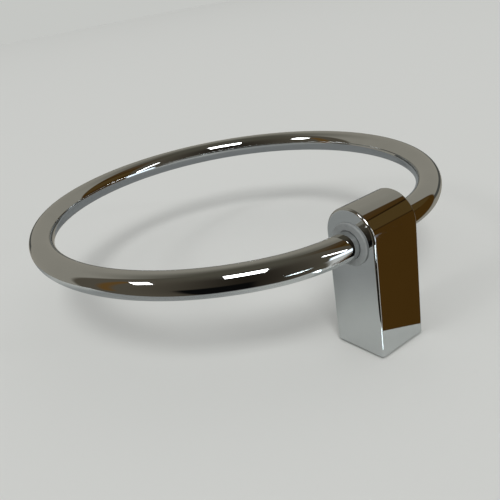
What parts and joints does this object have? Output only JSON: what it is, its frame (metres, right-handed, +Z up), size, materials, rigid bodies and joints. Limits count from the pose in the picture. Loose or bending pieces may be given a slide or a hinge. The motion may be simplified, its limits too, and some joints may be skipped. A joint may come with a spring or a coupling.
{
  "type": "towel ring",
  "caption": "Chrome towel ring: a round bar ring that swings in plastic bushes in a square, round-ended wall post.",
  "frame": {"origin": "centre of the wall face, on the wall plane", "axes": "+Z up the wall, +Y into the wall, so the post stands out towards -Y; X along the ring's pivot axis"},
  "size_m": [0.21, 0.0642, 0.2127],
  "materials": {
    "chrome": "polished chrome plate",
    "bush_plastic": "moulded grey",
    "bracket_zinc": "bare cast zinc",
    "screw_steel": "bright steel"
  },
  "bodies": {
    "wall_post": {"post": "chrome", "bush_left": "bush_plastic", "bush_right": "bush_plastic", "wall_bracket": "bracket_zinc", "grub_screw": "screw_steel"},
    "swing_ring": {"ring": "chrome"}
  },
  "joints": [
    {"name": "ring_swing", "type": "hinge", "parent": "wall_post", "child": "swing_ring", "pos_m": [0, -0.049, 0], "axis": [-1, 0, 0], "range_deg": [-12.5, 192.5]}
  ]
}
